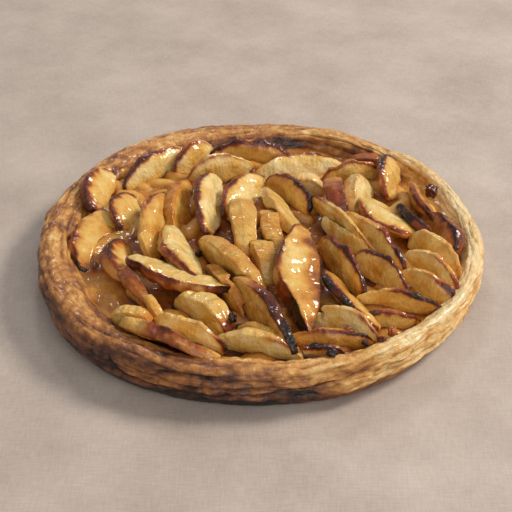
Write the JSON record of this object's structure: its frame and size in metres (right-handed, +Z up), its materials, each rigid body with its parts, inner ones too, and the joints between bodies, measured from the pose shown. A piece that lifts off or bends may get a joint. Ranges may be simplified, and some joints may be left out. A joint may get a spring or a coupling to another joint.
{
  "type": "apple puff pastry tart",
  "caption": "Round open tart: a rolled puff pastry case with flaky layered walls, custard, and baked apple slices heaped over it with browned edges.",
  "frame": {"origin": "middle of the underside of the pastry case", "axes": "+Z up through the tart, -Y towards the viewer of the picture"},
  "size_m": [0.2787, 0.2765, 0.047],
  "materials": {
    "baked_pastry": "baked flaky pastry with egg wash, golden to dark brown",
    "set_custard": "baked custard, glossy",
    "baked_apple": "roasted apple flesh, wet gloss, scorched edges"
  },
  "bodies": {
    "root": {"apple_slice_01": "baked_apple", "apple_slice_02": "baked_apple", "apple_slice_03": "baked_apple", "apple_slice_04": "baked_apple", "apple_slice_05": "baked_apple", "apple_slice_06": "baked_apple", "apple_slice_07": "baked_apple", "apple_slice_08": "baked_apple", "apple_slice_09": "baked_apple", "apple_slice_10": "baked_apple", "apple_slice_11": "baked_apple", "apple_slice_12": "baked_apple", "apple_slice_13": "baked_apple", "apple_slice_14": "baked_apple", "apple_slice_15": "baked_apple", "apple_slice_16": "baked_apple", "apple_slice_17": "baked_apple", "apple_slice_18": "baked_apple", "apple_slice_19": "baked_apple", "apple_slice_20": "baked_apple", "apple_slice_21": "baked_apple", "apple_slice_22": "baked_apple", "apple_slice_23": "baked_apple", "apple_slice_24": "baked_apple", "apple_slice_25": "baked_apple", "apple_slice_26": "baked_apple", "apple_slice_27": "baked_apple", "apple_slice_28": "baked_apple", "apple_slice_29": "baked_apple", "apple_slice_30": "baked_apple", "apple_slice_31": "baked_apple", "apple_slice_32": "baked_apple", "apple_slice_33": "baked_apple", "apple_slice_34": "baked_apple", "apple_slice_35": "baked_apple", "apple_slice_36": "baked_apple", "apple_slice_37": "baked_apple", "apple_slice_38": "baked_apple", "apple_slice_39": "baked_apple", "apple_slice_40": "baked_apple", "apple_slice_41": "baked_apple", "apple_slice_42": "baked_apple", "apple_slice_43": "baked_apple", "apple_slice_44": "baked_apple", "apple_slice_45": "baked_apple", "apple_slice_46": "baked_apple", "apple_slice_47": "baked_apple", "apple_slice_48": "baked_apple", "apple_slice_49": "baked_apple", "apple_slice_50": "baked_apple", "apple_slice_51": "baked_apple", "apple_slice_52": "baked_apple", "apple_slice_53": "baked_apple", "apple_slice_54": "baked_apple", "apple_slice_55": "baked_apple", "apple_slice_56": "baked_apple", "apple_slice_57": "baked_apple", "apple_slice_58": "baked_apple", "custard_filling": "set_custard", "pastry_case": "baked_pastry"}
  },
  "joints": []
}
